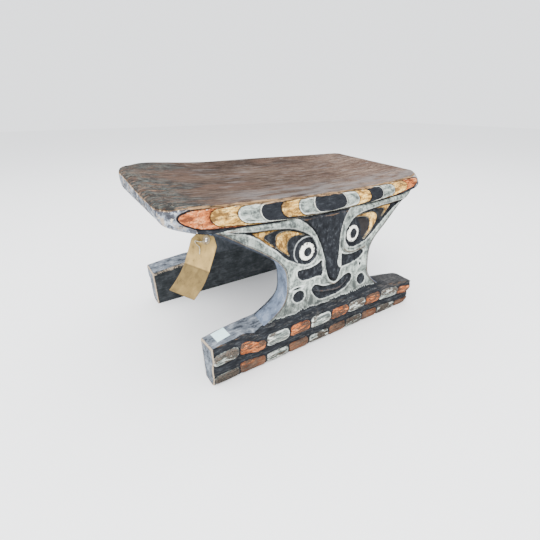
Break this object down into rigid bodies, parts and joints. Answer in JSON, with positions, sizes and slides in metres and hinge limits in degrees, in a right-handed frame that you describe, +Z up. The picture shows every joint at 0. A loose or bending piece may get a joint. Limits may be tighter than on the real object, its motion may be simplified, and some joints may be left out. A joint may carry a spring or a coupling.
{
  "type": "carved headrest",
  "caption": "Low carved wooden headrest with a dished seat on two face-carved side panels and runners, with a paper tag hung under one end.",
  "frame": {"origin": "on the floor, under the middle of the object", "axes": "+Z up, +X along the seat's length, the front carved face looks along -Y"},
  "size_m": [0.453, 0.3136, 0.2587],
  "materials": {
    "seat_wood": "weathered, worn dark paint over brown wood",
    "panel_paint": "matt grey-white, black and ochre paint on carved wood",
    "panel_paint_rear": "matt grey-white, black and ochre paint on carved wood",
    "runner_paint": "matt black paint with orange and grey bricks",
    "runner_paint_rear": "matt black paint with orange and grey bricks",
    "tag_card": "manila card, creased",
    "ring_paper": "matt paper ring",
    "string_cotton": "twisted cotton",
    "tack_steel": "dull blued steel",
    "sticker_paper": "pale blue-white paper label"
  },
  "bodies": {
    "carving": {"seat_slab": "seat_wood", "front_panel": "panel_paint", "rear_panel": "panel_paint_rear", "front_runner": "runner_paint", "rear_runner": "runner_paint_rear", "underside_tack": "tack_steel", "inventory_sticker": "sticker_paper"},
    "string": {"tag_string": "string_cotton"},
    "tag": {"paper_tag": "tag_card", "tag_reinforcement_ring": "ring_paper"}
  },
  "joints": [
    {"name": "string_swing", "type": "hinge", "parent": "carving", "child": "string", "pos_m": [-0.149, -0.088, 0.2073], "axis": [0.4545, -0.8907, 0], "range_deg": [-25, 18]},
    {"name": "tag_swing", "type": "hinge", "parent": "string", "child": "tag", "pos_m": [-0.16842, -0.09791, 0.18765], "axis": [0.4408, -0.8929, -0.0917], "range_deg": [-2, 40]}
  ]
}
